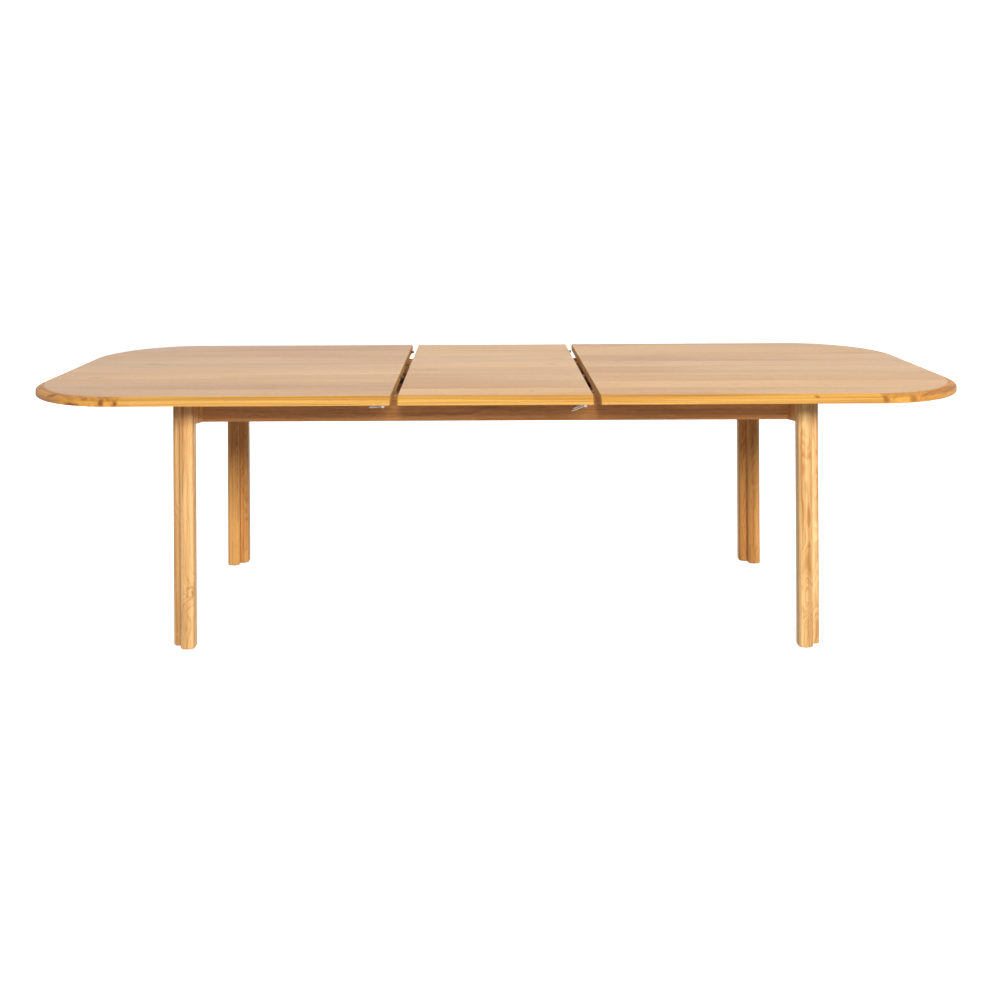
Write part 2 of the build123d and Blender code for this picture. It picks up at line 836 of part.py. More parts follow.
def write_leaf():
    clip_places = both_sides(clip_screw_places(half_leaf))
    catch_places = both_sides(catch_screw_places(-half_leaf))
    places = clip_places + catch_places
    holes = upward(places, clip_screw_length, small_screw, screw_hole)
    field = without(leaf_field(), holes)
    field = without(field, dowel_sockets(half_leaf, -1, *glued_socket))
    field = without(field, dowel_sockets(-half_leaf, 1, *loose_socket))
    save("leaf_field_board", field)
    front_lipping = straight_lipping(-half_leaf, half_leaf)
    save("leaf_lipping_front", front_lipping)
    save("leaf_lipping_rear", to_rear(front_lipping))
    save("leaf_dowels", group(dowels(half_leaf, 1)))
    plate = without(clip_plate(half_leaf), holes)
    save("leaf_clip_plates", group([plate, to_rear(plate)]))
    catches = without(catch(-half_leaf), holes)
    save("leaf_catches", group([catches, to_rear(catches)]))
    save("leaf_screws", group(upward(places, clip_screw_length, small_screw, screw)))
    front_clip = wire_clip(half_leaf, leaf_clip_hang_angle)
    save("leaf_clip_front", front_clip)
    save("leaf_clip_rear", to_rear(front_clip))


def four_corners(shapes):
    """Front right pieces copied to all four corners."""
    front = shapes + [to_left(shape) for shape in shapes]
    return front + [to_rear(shape) for shape in front]


corner_places = {
    "front_right": lambda shape: shape,
    "front_left": to_left,
    "rear_right": to_rear,
    "rear_left": lambda shape: to_rear(to_left(shape)),
}


def write_legs():
    drilled_leg = leg() - bolt_hole(bolt_radius)
    drilled_block = corner_block() - bolt_hole(bolt_radius + bolt_drilling_clearance)
    for name, place in corner_places.items():
        save(f"leg_{name}", place(drilled_leg))
        save(f"corner_block_{name}", place(drilled_block))
    save("foot_glides", group(four_corners(glides())))
    save("leg_bolts", group(four_corners([corner_bolt()])))


def write_frame():
    fixings = [(*place, bracket_screw_length, wood_screw) for place in bracket_screws_front_right()]
    bracket_holes = [screw_hole(*fixing) for fixing in fixings]
    bracket_screws = [screw(*fixing) for fixing in fixings]
    all_bracket_holes = four_corners(bracket_holes)
    apron = without(front_apron(), all_bracket_holes)
    save("apron_front", apron)
    save("apron_rear", to_rear(apron))
    end_apron = without(right_end_apron(), all_bracket_holes)
    save("apron_right_end", end_apron)
    save("apron_left_end", to_left(end_apron))
    bracket = without(corner_bracket(), bracket_holes)
    save("corner_brackets", group(four_corners([bracket])))

    rails = {
        "cross_rail_right": (side_rail_centre, side_rail_width),
        "cross_rail_middle": (0.0, middle_rail_width),
        "cross_rail_left": (-side_rail_centre, side_rail_width),
    }
    rail_places = [place for rail in rails.values() for place in cross_rail_screw_places(*rail)]
    rail_holes = upward(rail_places, cross_rail_screw_length, wood_screw, screw_hole)
    down = (0, 0, -1)
    fixings = [
        (place, down, gear_plate_screw_length, wood_screw) for place in gear_plate_screw_places()
    ]
    plate_holes = [screw_hole(*fixing) for fixing in fixings]
    plate_screws = [screw(*fixing) for fixing in fixings]
    axle_length = pinion_bottom - cross_rail_bottom
    axle_hole = bar((0, 0, cross_rail_bottom), (0, 0, 1), axle_length, axle_radius)
    for name, rail in rails.items():
        piece = without(cross_rail(*rail), rail_holes)
        if name == "cross_rail_middle":
            piece = without(piece, plate_holes + [axle_hole])
        save(name, piece)
    guide = without(front_guide(), rail_holes)
    save("guide_front", guide)
    save("guide_rear", to_rear(guide))
    save("gear_plate", without(gear_plate(), plate_holes + [axle_hole]))
    save("pinion_axle", pinion_axle())
    save("pinion", pinion())
    save("stop_blocks", group(stops()))
    save("leaf_pads", group(leaf_pads()))
    screws = (
        four_corners(bracket_screws)
        + upward(rail_places, cross_rail_screw_length, wood_screw, screw)
        + plate_screws
    )
    save("frame_screws", group(screws))


os.makedirs("parts", exist_ok=True)
write_legs()
write_frame()
write_right_top()
write_left_top()
write_leaf()
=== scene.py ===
import bmesh
import bpy
import json
from math import cos, pi, radians, sin
from mathutils import Matrix, Vector

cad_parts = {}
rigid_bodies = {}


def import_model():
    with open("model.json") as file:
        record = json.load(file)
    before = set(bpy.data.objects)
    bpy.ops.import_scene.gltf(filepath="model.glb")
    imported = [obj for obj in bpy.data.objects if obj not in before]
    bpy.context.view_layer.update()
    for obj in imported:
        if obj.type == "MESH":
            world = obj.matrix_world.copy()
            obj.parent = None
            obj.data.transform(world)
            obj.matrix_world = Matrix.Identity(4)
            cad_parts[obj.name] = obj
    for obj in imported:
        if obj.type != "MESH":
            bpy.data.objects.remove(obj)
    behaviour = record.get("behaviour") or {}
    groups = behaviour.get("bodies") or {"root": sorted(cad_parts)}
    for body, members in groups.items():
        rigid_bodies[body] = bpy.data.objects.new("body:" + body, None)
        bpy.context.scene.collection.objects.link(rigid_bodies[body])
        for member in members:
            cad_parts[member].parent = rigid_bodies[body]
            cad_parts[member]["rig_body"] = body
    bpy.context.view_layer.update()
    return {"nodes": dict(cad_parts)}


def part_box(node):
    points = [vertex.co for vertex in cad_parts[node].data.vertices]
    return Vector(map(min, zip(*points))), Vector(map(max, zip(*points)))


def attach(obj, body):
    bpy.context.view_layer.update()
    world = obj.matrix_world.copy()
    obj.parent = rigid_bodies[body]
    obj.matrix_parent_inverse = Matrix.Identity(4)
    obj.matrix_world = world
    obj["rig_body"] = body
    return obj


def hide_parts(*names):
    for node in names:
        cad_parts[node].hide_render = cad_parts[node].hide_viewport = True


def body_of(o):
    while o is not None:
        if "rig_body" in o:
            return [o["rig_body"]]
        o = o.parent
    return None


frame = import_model()
nodes = frame["nodes"]
scene = bpy.context.scene
MM = 0.001


# ---- node helpers ----
def scaled(colour, factor):
    """A colour made darker or lighter, with no channel over full."""
    return tuple(min(1.0, channel * factor) for channel in colour)


class Tree:
    """A material's node tree, with short calls for the nodes that it is made of."""

    def __init__(self, name):
        self.material = bpy.data.materials.new(name)
        self.material.use_nodes = True
        self.tree = self.material.node_tree
        self.tree.nodes.clear()

    def node(self, kind, inputs=None, **props):
        made = self.tree.nodes.new("ShaderNode" + kind)
        for key, value in props.items():
            setattr(made, key, value)
        for key, value in (inputs or {}).items():
            self.put(made.inputs[key], value)
        return made

    def put(self, socket, value):
        """Link a socket of another node, or set a plain value."""
        if isinstance(value, bpy.types.NodeSocket):
            self.tree.links.new(value, socket)
        else:
            socket.default_value = value

    def place(self):
        """Where the surface is at rest, in metres, in the frame that all pieces share."""
        return self.node("TexCoord").outputs["Object"]

    def math(self, operation, *values, clamp=False):
        made = self.node("Math", operation=operation, use_clamp=clamp)
        for socket, value in zip(made.inputs, values):
            self.put(socket, value)
        return made.outputs[0]

    def vector(self, operation, *values):
        made = self.node("VectorMath", operation=operation)
        for socket, value in zip(made.inputs, values):
            self.put(socket, value)
        return made.outputs["Value" if operation in ("LENGTH", "DOT_PRODUCT") else "Vector"]

    def parts(self, vector):
        return self.node("SeparateXYZ", {"Vector": vector}).outputs

    def join(self, x, y, z):
        return self.node("CombineXYZ", {"X": x, "Y": y, "Z": z}).outputs[0]

    def stretch(self, vector, scale):
        return self.vector("MULTIPLY", vector, scale)

    def nudge(self, value, part, amount):
        """A value moved by a part that runs from 0 to 1, as far as that is from its middle."""
        return self.math("MULTIPLY_ADD", self.math("SUBTRACT", part, 0.5), amount, value)

    def noise(self, vector, scale=1.0, detail=2.0, rough=0.5, twist=0.0):
        made = self.node(
            "TexNoise",
            {"Vector": vector, "Scale": scale, "Detail": detail, "Roughness": rough, "Distortion": twist},
        )
        return made.outputs["Fac"]

    def span(self, value, low, high, out_low=0.0, out_high=1.0):
        """A smooth step from out_low to out_high as the value goes from low to high."""
        made = self.node(
            "MapRange",
            {"Value": value, "From Min": low, "From Max": high, "To Min": out_low, "To Max": out_high},
            interpolation_type="SMOOTHSTEP",
        )
        return made.outputs["Result"]

    def mix(self, factor, a, b, kind="MIX"):
        made = self.node("Mix", data_type="RGBA", blend_type=kind)
        self.put(made.inputs[0], factor)
        for socket, value in ((made.inputs[6], a), (made.inputs[7], b)):
            self.put(socket, (*value, 1.0) if isinstance(value, tuple) else value)
        return made.outputs[2]

    def stain(self, colour, other, mask, strength):
        """The other colour laid over the first where the mask is, at most as strongly as said."""
        return self.mix(self.math("MULTIPLY", mask, strength), colour, other)

    def bump(self, height, distance, strength):
        return self.node("Bump", {"Height": height, "Distance": distance, "Strength": strength}).outputs[0]

    def shade(self, colour, rough, normal=None, **fixed):
        """The finished material. What is the same all over is set on the shader's own sockets."""
        shader = self.node("BsdfPrincipled", {"Base Color": colour, "Roughness": rough})
        if normal is not None:
            self.put(shader.inputs["Normal"], normal)
        for key, value in fixed.items():
            self.put(shader.inputs[key.replace("_", " ")], value)
        out = self.node("OutputMaterial")
        self.tree.links.new(shader.outputs[0], out.inputs["Surface"])
        return self.material


# ---- wood ----
# How the log is turned, in degrees, so that its fibres run the way they are named.
GRAIN = {
    "x": (0.0, 0.0, 0.0),
    "y": (0.0, 0.0, -90.0),
    "z": (0.0, 90.0, 0.0),
    "rising": (0.0, 0.0, -45.0),
    "falling": (0.0, 0.0, 45.0),
}
# How strongly each part of the figure shows: colour from stave to stave, broad clouds, bands of years,
# rings, streaks, fine lines, fibres and dark spots. wander and ripple are how far the rings stray, in
# metres, and wave is how often they ripple to the metre, along and across the grain.
FIGURE = {
    "top": dict(tone=0.55, broad=1.05, years=0.75, ring=0.15, streak=0.60, line=0.30, fibre=0.30,
                wander=0.085, ripple=0.016, wave=(3.1, 9.0), spots=0.60),
    "lipping": dict(tone=0.0, broad=0.60, years=0.70, ring=0.20, streak=0.80, line=2.10, fibre=0.40,
                    wander=0.020, ripple=0.006, wave=(3.1, 9.0), spots=0.15),
    "corner": dict(tone=0.0, broad=1.10, years=1.60, ring=0.30, streak=1.25, line=1.10, fibre=0.40,
                   wander=0.050, ripple=0.030, wave=(7.0, 16.0), spots=0.55),
    "leg": dict(tone=0.0, broad=0.70, years=1.60, ring=0.25, streak=1.35, line=1.40, fibre=0.50,
                wander=0.070, ripple=0.034, wave=(4.2, 15.0), spots=0.25),
    "apron": dict(tone=0.0, broad=0.90, years=1.60, ring=0.35, streak=0.90, line=0.80, fibre=0.40,
                  wander=0.120, ripple=0.075, wave=(5.5, 9.0), spots=0.30),
    "plain": dict(tone=0.0, broad=0.40, years=0.45, ring=0.10, streak=0.50, line=0.30, fibre=0.40,
                  wander=0.050, ripple=0.010, wave=(3.1, 9.0), spots=0.0),
}
# Patterns in the log: how often they repeat to the metre along and across the grain, detail, roughness.
PATTERN = {
    "wander": ((1.15, 2.2, 2.2), 1.5, 0.5),
    "streak": ((1.7, 46.0, 46.0), 3.0, 0.55),
    "line": ((1.3, 150.0, 150.0), 1.5, 0.5),
    "fibre": ((7.0, 330.0, 330.0), 3.0, 0.6),
    "broad": ((0.95, 4.0, 4.0), 2.5, 0.5),
    "pore": ((70.0, 1500.0, 1500.0), 1.0, 0.5),
    "mineral": ((9.0, 150.0, 150.0), 1.5, 0.5),
    "spot": ((6.5, 24.0, 24.0), 2.0, 0.45),
    "ray": ((48.0, 260.0, 30.0), 1.0, 0.5),
}
# Where in its pattern each mark starts and where it is full.
MARK = dict(pore=(0.60, 0.72), mineral=(0.69, 0.78), spot=(0.70, 0.80), ray=(0.66, 0.76))
# Where in the clouds mineral stains start to show and are full, and where in the streaks rays are.
MINERAL_CLOUD = (0.44, 0.60)
RAY_STREAK = (0.45, 0.62)
# How strongly each mark stains the wood.
STAIN = dict(pore=0.28, mineral=0.55, ray=0.16, glow=0.50, rim=0.60, heart=0.80, seam=0.45, worn=0.30)
# How much rougher or smoother each part of the figure makes the surface, and how far it stands out.
ROUGH = dict(fibre=0.16, pore=0.22, broad=0.14, worn=-0.06)
RELIEF = dict(fibre=0.5, pore=-0.9, ring=0.35, heart=-1.2)

STAVE_WIDTH = 0.119
# The staves differ in width: how many radians to the metre the seams sway, and how far, in metres.
SEAM_SWAY = (17.0, 0.011)
# How far from a seam its dark line starts, and where it is full, in metres.
SEAM_EDGES = (0.0006, 0.0001)
# How far apart the staves were in their logs, in metres: along, across and in depth.
STAVE_SPREAD = (6.0, 0.9, 0.7)
# Sets the draws for one board's staves apart from those for the next board's.
DRAW_STEP = 13.0
# How far the pith is from a stave, and how much that differs, in metres.
STAVE_PITH = dict(spread_across=0.17, spread_depth=0.055, depth=0.030)
# How far the pith of a solid piece is from the log's axis, in metres: across and in depth.
SOLID_PITH = (0.031, 0.047)
RINGS_PER_METRE = 330.0
# How far the ripple shifts the rings, in rings.
RING_SHIFT = 1.4
# A ring grows lighter slowly and ends sharply, in shares of its width.
RING_RISE = (0.0, 0.75)
RING_FALL = (0.86, 1.0)
# How often slow and fast years change to the metre, along the log and outwards from its pith.
YEARS_SCALE = (0.35, 62.0)
# How far a knot pushes the rings aside, in metres.
KNOT_SWELL = 0.012
# Where each part of a knot starts and ends, in half sizes from its middle, how ragged it is, and how
# often the raggedness repeats to the metre.
KNOT = dict(swell=(0.3, 3.6), rim_in=(0.55, 0.90), rim_out=(0.95, 1.45), heart=(0.40, 0.95), glow=(0.7, 2.3))
KNOT_RAGGED = 0.9
KNOT_CRUMPLE = (48.0, 150.0)
# Bark-coloured wood in the knots, as a share of the dark colour.
REDDISH = (0.60, 0.42, 0.40)
CLOUD_TINT = (1.0, 0.88, 0.74)
# The bevel and the lipping's other upward faces are painted darker and warmer than the upright edge: painted
# shade.
BEVEL_PAINTED_SHADE = (0.87, 0.80, 0.62)
# The upper face of an apron is painted dark as shade, and a board's sawn edges are rougher.
APRON_TOP_PAINTED_SHADE = (0.26, 0.22, 0.20)
SAWN_ROUGH = 0.35
WORN_RADIUS = 2.2 * MM
WOOD_RELIEF = 0.22 * MM
WOOD_IOR = 1.46


def cut_staves(t, log, place, start):
    """Glued staves, each from its own place in the log: that place, the stave's tone, how far the surface is
    from the pith, across and in depth, and how far it is into the stave."""
    x, y, z = t.parts(log)
    often, stray = SEAM_SWAY
    sway = t.math("MULTIPLY", t.math("SINE", t.math("MULTIPLY", y, often)), stray)
    number = t.math("DIVIDE", t.math("ADD", t.math("SUBTRACT", y, start), sway), STAVE_WIDTH)
    index = t.math("FLOOR", number)
    inside = t.math("SUBTRACT", number, index)
    lot = t.math("ADD", index, place[0] * DRAW_STEP + 0.5)
    drawn = t.parts(t.node("TexWhiteNoise", {"W": lot}, noise_dimensions="1D").outputs["Color"])
    cut = t.join(*(t.math("MULTIPLY_ADD", share, spread, axis)
                   for share, spread, axis in zip(drawn, STAVE_SPREAD, (x, y, z))))
    tone, aside, down = drawn
    across = t.math("ADD", t.math("MULTIPLY", t.math("SUBTRACT", inside, 0.5), STAVE_WIDTH),
                    t.math("MULTIPLY", t.math("SUBTRACT", aside, 0.5), STAVE_PITH["spread_across"]))
    depth = t.math("MULTIPLY_ADD", down, STAVE_PITH["spread_depth"], STAVE_PITH["depth"])
    return cut, tone, across, depth, inside


def knot_marks(t, at, knots, middle, distance):
    """Each knot's dark rim, its heart and the warm wood round it, with the rings flowing round them."""
    crumple = t.math("ADD", *(t.noise(at, often) for often in KNOT_CRUMPLE))
    marks = None
    for offset, size, rim_force, heart_force in knots:
        centre = tuple(m + o * MM for m, o in zip(middle, offset))
        away = t.stretch(t.vector("SUBTRACT", at, centre), tuple(1.0 / (s * MM) for s in size))
        far = t.vector("LENGTH", away)
        ragged = t.math("MULTIPLY_ADD", t.math("SUBTRACT", crumple, 1.0), KNOT_RAGGED, far)
        distance = t.math("MULTIPLY_ADD", t.span(far, *KNOT["swell"], 1.0, 0.0), KNOT_SWELL, distance)
        found = (
            t.math("SUBTRACT", t.span(ragged, *KNOT["rim_in"], 0.0, rim_force),
                   t.span(ragged, *KNOT["rim_out"], 0.0, rim_force)),
            t.span(ragged, *KNOT["heart"], heart_force, 0.0),
            t.span(ragged, *KNOT["glow"], heart_force, 0.0),
        )
        marks = found if marks is None else [t.math("MAXIMUM", a, b) for a, b in zip(marks, found)]
    return distance, *marks


def wood(name, light, dark, grain, place, figure, staves_from=None, knots=(), middle=None, gloss=0.44,
         base=0.40, specular=0.5):
    """Solid oak or beech. Grain is the way that the fibres run, and place moves the piece in its log."""
    t = Tree(name)
    f = FIGURE[figure]
    at = t.place()
    turn = tuple(radians(angle) for angle in GRAIN[grain])
    log = t.node("Mapping", {"Vector": at, "Rotation": turn, "Location": place}).outputs[0]
    x, y, z = t.parts(log)
    if staves_from is None:
        tone = 0.5
        across, depth = (t.math("ADD", value, pith) for value, pith in zip((y, z), SOLID_PITH))
    else:
        log, tone, across, depth, inside = cut_staves(t, log, place, staves_from)
    wander, streak, line, fibre, broad, pore, mineral, spot, ray = (
        t.noise(t.stretch(log, often), detail=detail, rough=rough)
        for often, detail, rough in PATTERN.values()
    )
    # The pith wanders along the log, so the rings come to the surface as long flames.
    across = t.nudge(across, wander, f["wander"])
    along, aside = f["wave"]
    wave = t.noise(t.stretch(log, (along, aside, aside)))
    depth = t.nudge(depth, wave, f["ripple"])
    across = t.nudge(across, wave, f["ripple"] * 0.8)
    distance = t.vector("LENGTH", t.join(0.0, across, depth))
    if knots:
        distance, rim, heart, glow = knot_marks(t, at, knots, middle, distance)
    # Yearly rings, and the wider bands of slow and fast years.
    ring = t.math("MULTIPLY_ADD", distance, RINGS_PER_METRE, t.math("MULTIPLY", wave, RING_SHIFT))
    ring = t.math("FRACT", ring)
    ring = t.math("SUBTRACT", t.span(ring, *RING_RISE), t.span(ring, *RING_FALL))
    lengthwise, outwards = YEARS_SCALE
    years = t.join(t.math("MULTIPLY", x, lengthwise), t.math("MULTIPLY", distance, outwards), 0.3)
    years = t.noise(years, detail=3.0, rough=0.62)
    pore = t.span(pore, *MARK["pore"])
    mineral = t.math("MULTIPLY", t.span(mineral, *MARK["mineral"]), t.span(broad, *MINERAL_CLOUD))
    spot = t.span(spot, *MARK["spot"])
    ray = t.math("MULTIPLY", t.span(ray, *MARK["ray"]), t.span(streak, *RAY_STREAK))
    # How dark the wood is at this place, from 0 to 1.
    shade = base
    for part, weight in ((tone, f["tone"]), (broad, f["broad"]), (years, f["years"]), (ring, -f["ring"]),
                         (streak, f["streak"]), (line, f["line"]), (fibre, f["fibre"])):
        if weight:
            shade = t.nudge(shade, part, weight)
    shade = t.math("MAXIMUM", t.math("MINIMUM", shade, 1.0), 0.0)
    colour = t.mix(shade, light, dark)
    colour = t.mix(t.span(broad, 0.35, 0.7, 0.0, 0.5), colour, CLOUD_TINT, "MULTIPLY")
    deep = scaled(dark, 0.45)
    colour = t.stain(colour, deep, pore, STAIN["pore"])
    colour = t.stain(colour, deep, mineral, STAIN["mineral"])
    colour = t.stain(colour, scaled(dark, 0.80), spot, f["spots"])
    colour = t.stain(colour, scaled(light, 1.22), ray, STAIN["ray"])
    if knots:
        bark = tuple(channel * share for channel, share in zip(dark, REDDISH))
        colour = t.stain(colour, scaled(dark, 0.95), glow, STAIN["glow"])
        colour = t.stain(colour, bark, rim, STAIN["rim"])
        colour = t.stain(colour, scaled(bark, 0.7), heart, STAIN["heart"])
    if staves_from is not None:
        seam = t.math("ABSOLUTE", t.math("SUBTRACT", inside, 0.5))
        seam = t.span(seam, *(0.5 - edge / STAVE_WIDTH for edge in SEAM_EDGES))
        colour = t.stain(colour, deep, seam, STAIN["seam"])
    flat = t.node("NewGeometry").outputs["Normal"]
    facing_up = t.parts(flat)[2]
    # Painted shade: the upward faces of the lippings are made darker and warmer.
    if figure in ("lipping", "corner"):
        colour = t.mix(t.span(facing_up, 0.45, 0.85), colour, BEVEL_PAINTED_SHADE, "MULTIPLY")
    # Painted shade: the apron's upward faces are made dark.
    if figure == "apron":
        colour = t.mix(t.span(facing_up, 0.6, 0.9), colour, APRON_TOP_PAINTED_SHADE, "MULTIPLY")
    # Edges are worn paler and smoother.
    rounded = t.node("Bevel", {"Radius": WORN_RADIUS}, samples=4).outputs[0]
    worn = t.span(t.vector("DOT_PRODUCT", rounded, flat), 0.995, 0.90)
    worn = t.math("MULTIPLY", worn, t.span(streak, 0.35, 0.6))
    colour = t.stain(colour, scaled(light, 1.12), worn, STAIN["worn"])
    rough = t.math("MULTIPLY_ADD", fibre, ROUGH["fibre"], gloss - ROUGH["fibre"] / 2)
    rough = t.math("MULTIPLY_ADD", pore, ROUGH["pore"], rough)
    rough = t.nudge(rough, broad, ROUGH["broad"])
    if figure == "top":
        # Sawn edges and the underside carry only one thin coat.
        rough = t.math("ADD", t.span(facing_up, 0.2, 0.8, SAWN_ROUGH, 0.0), rough)
    rough = t.math("MULTIPLY_ADD", worn, ROUGH["worn"], rough, clamp=True)
    relief = t.math("MULTIPLY_ADD", fibre, RELIEF["fibre"], t.math("MULTIPLY", pore, RELIEF["pore"]))
    relief = t.math("MULTIPLY_ADD", ring, RELIEF["ring"], relief)
    if knots:
        relief = t.math("MULTIPLY_ADD", heart, RELIEF["heart"], relief)
    normal = t.bump(relief, WOOD_RELIEF, 0.55)
    return t.shade(colour, rough, normal, IOR=WOOD_IOR, Specular_IOR_Level=specular)


# ---- metal, plastic and felt ----
FILM_BROWN = (0.42, 0.38, 0.32)


def metal(name, colour, rough, spots):
    """Zinc plate or bright wire: a mottled plating, fine rubbing marks and a dull film in places."""
    t = Tree(name)
    at = t.place()
    film = t.noise(at, 140.0, detail=4.0, rough=0.6)
    cloud = t.noise(at, 35.0)
    mark = t.noise(t.stretch(at, (90.0, 2400.0, 900.0)))
    patch = t.parts(t.node("TexVoronoi", {"Vector": at, "Scale": spots}).outputs["Color"])[0]
    tint = t.stain(colour, scaled(colour, 0.72), patch, 0.5)
    tint = t.mix(t.span(film, 0.55, 0.75, 0.0, 0.35), tint, FILM_BROWN)
    value = t.math("MULTIPLY_ADD", film, 0.22, rough - 0.06)
    value = t.nudge(value, cloud, 0.16)
    value = t.math("MULTIPLY_ADD", t.span(mark, 0.55, 0.7), 0.10, value, clamp=True)
    normal = t.bump(t.math("ADD", mark, film), 0.06 * MM, 0.4)
    return t.shade(tint, value, normal, Metallic=1.0)


def plastic(name, colour, rough):
    """Moulded nylon or polyethylene: a fine grain, slight marbling, rubbed patches."""
    t = Tree(name)
    at = t.place()
    grain = t.noise(at, 2600.0)
    cloud = t.noise(at, 60.0, detail=3.0)
    rubbed = t.span(t.noise(at, 180.0, detail=4.0, rough=0.65), 0.52, 0.66)
    tint = t.mix(cloud, scaled(colour, 0.86), scaled(colour, 1.10))
    tint = t.stain(tint, scaled(colour, 0.70), rubbed, 0.35)
    value = t.math("MULTIPLY_ADD", rubbed, -0.14, t.math("MULTIPLY_ADD", grain, 0.12, rough), clamp=True)
    normal = t.bump(t.math("MULTIPLY_ADD", cloud, 0.4, grain), 0.08 * MM, 0.5)
    return t.shade(tint, value, normal)


def felt(name, colour):
    """Pressed wool: matted fibres with stray light ones."""
    t = Tree(name)
    at = t.place()
    mat = t.noise(at, 900.0, detail=5.0, rough=0.7, twist=1.2)
    hair = t.noise(t.stretch(at, (260.0, 2200.0, 2200.0)), detail=3.0, twist=2.0)
    cloud = t.noise(at, 90.0)
    tint = t.mix(mat, scaled(colour, 0.55), scaled(colour, 1.35))
    tint = t.mix(t.span(hair, 0.62, 0.72, 0.0, 0.5), tint, scaled(colour, 1.9))
    tint = t.stain(tint, scaled(colour, 0.7), cloud, 0.3)
    normal = t.bump(t.math("ADD", mat, hair), 0.6 * MM, 0.8)
    return t.shade(tint, t.math("MULTIPLY_ADD", mat, 0.1, 0.86), normal, Sheen_Weight=0.4)


# ---- camera ----
SENSOR_WIDTH = 36.0
FOCAL_LENGTH = 38.346
SHIFT = (0.0219, -0.3100)
CAMERA_PLACE = (-0.0341, -3.4150, 1.3212)
CAMERA_TURN = 0.00628
CAMERA_ROLL = -0.00584

camera_data = bpy.data.cameras.new("camera")
camera_data.sensor_width = SENSOR_WIDTH
camera_data.lens = FOCAL_LENGTH
camera_data.shift_x, camera_data.shift_y = SHIFT
camera = bpy.data.objects.new("camera", camera_data)
scene.collection.objects.link(camera)
camera.matrix_world = (
    Matrix.Translation(CAMERA_PLACE)
    @ Matrix.Rotation(CAMERA_TURN, 4, "Z")
    @ Matrix.Rotation(pi / 2, 4, "X")
    @ Matrix.Rotation(CAMERA_ROLL, 4, "Z")
)
scene.camera = camera
scene.view_settings.view_transform = "Standard"
scene.view_settings.look = "None"

# ---- studio ----
# Softboxes: place, target, size and power.
LAMPS = {
    "key": ((1.35, -5.3, 3.3), (0.0, 0.0, 0.55), (3.4, 1.6), 400.0),
    "overhead": ((0.0, 0.3, 3.8), (0.0, 0.0, 0.7), (4.5, 3.0), 29.5),
    "rear": ((-1.2, 5.4, 1.7), (0.0, 0.0, 0.5), (4.0, 1.6), 100.0),
}
WHITE = (1.0, 1.0, 1.0, 1.0)
WORLD_STRENGTH = 0.26
FLOOR_REACH = 7.0
FLOOR_CURVE = 3.0
WALL_HEIGHT = 9.0
CURVE_STEPS = 12
FLOOR_SIDES = 96
FLOOR_GLOW = 0.70
PAPER = ((0.94, 0.94, 0.935), (0.96, 0.96, 0.96))


def softbox(name, place, target, size, power):
    data = bpy.data.lights.new(name, "AREA")
    data.shape = "RECTANGLE"
    data.size, data.size_y = size
    data.energy = power
    lamp = bpy.data.objects.new(name, data)
    lamp.location = place
    lamp.rotation_euler = (Vector(target) - Vector(place)).to_track_quat("-Z", "Y").to_euler()
    lamp.visible_camera = False
    lamp.visible_glossy = False
    scene.collection.objects.link(lamp)


def sweep():
    """A pale floor that curves up into a pale wall all round."""
    bend = [pi / 2 * step / CURVE_STEPS for step in range(1, CURVE_STEPS + 1)]
    profile = [(0.0, 0.0), (FLOOR_REACH, 0.0)]
    profile += [(FLOOR_REACH + FLOOR_CURVE * sin(a), FLOOR_CURVE - FLOOR_CURVE * cos(a)) for a in bend]
    profile.append((FLOOR_REACH + FLOOR_CURVE, WALL_HEIGHT))
    around = [2 * pi * side / FLOOR_SIDES for side in range(FLOOR_SIDES)]
    verts = [(r * cos(a), r * sin(a), z) for r, z in profile for a in around]
    faces = []
    for row in range(0, len(verts) - FLOOR_SIDES, FLOOR_SIDES):
        for side in range(FLOOR_SIDES):
            here = row + side
            beside = row + (side + 1) % FLOOR_SIDES
            faces.append((here, beside, beside + FLOOR_SIDES, here + FLOOR_SIDES))
    mesh = bpy.data.meshes.new("floor")
    mesh.from_pydata(verts, [], faces)
    mesh.shade_smooth()
    floor = bpy.data.objects.new("floor", mesh)
    scene.collection.objects.link(floor)
    t = Tree("floor_paper")
    colour = t.mix(t.noise(t.place(), 3.0, detail=3.0), *PAPER)
    mesh.materials.append(t.shade(colour, 0.9, Emission_Color=WHITE, Emission_Strength=FLOOR_GLOW))
    floor.visible_diffuse = False
    floor.visible_shadow = False


for lamp_name, settings in LAMPS.items():
    softbox(lamp_name, *settings)
world = bpy.data.worlds.new("studio")
scene.world = world
world.use_nodes = True
background = world.node_tree.nodes["Background"]
background.inputs["Color"].default_value = WHITE
background.inputs["Strength"].default_value = WORLD_STRENGTH
sweep()

# ---- finishes ----
# Each wood's light and dark colour.
OAK = ((0.725, 0.396, 0.114), (0.460, 0.210, 0.045))
EDGE_OAK = ((0.84, 0.48, 0.115), (0.46, 0.190, 0.034))
CORNER_OAK = ((0.78, 0.380, 0.070), (0.35, 0.122, 0.018))
LEG_OAK = ((0.98, 0.605, 0.262), (0.47, 0.198, 0.051))
# The front right leg's oak is a lighter copy of the leg oak: painted light.
LIT_RIGHT_LEG_OAK = ((1.00, 0.655, 0.295), (0.50, 0.220, 0.060))
# The rear legs' oak is a darker, warmer copy of the leg oak: painted shade.
SHADED_REAR_LEG_OAK = ((0.83, 0.42, 0.130), (0.40, 0.142, 0.028))
BLOCK_OAK = ((0.96, 0.54, 0.215), (0.58, 0.245, 0.075))
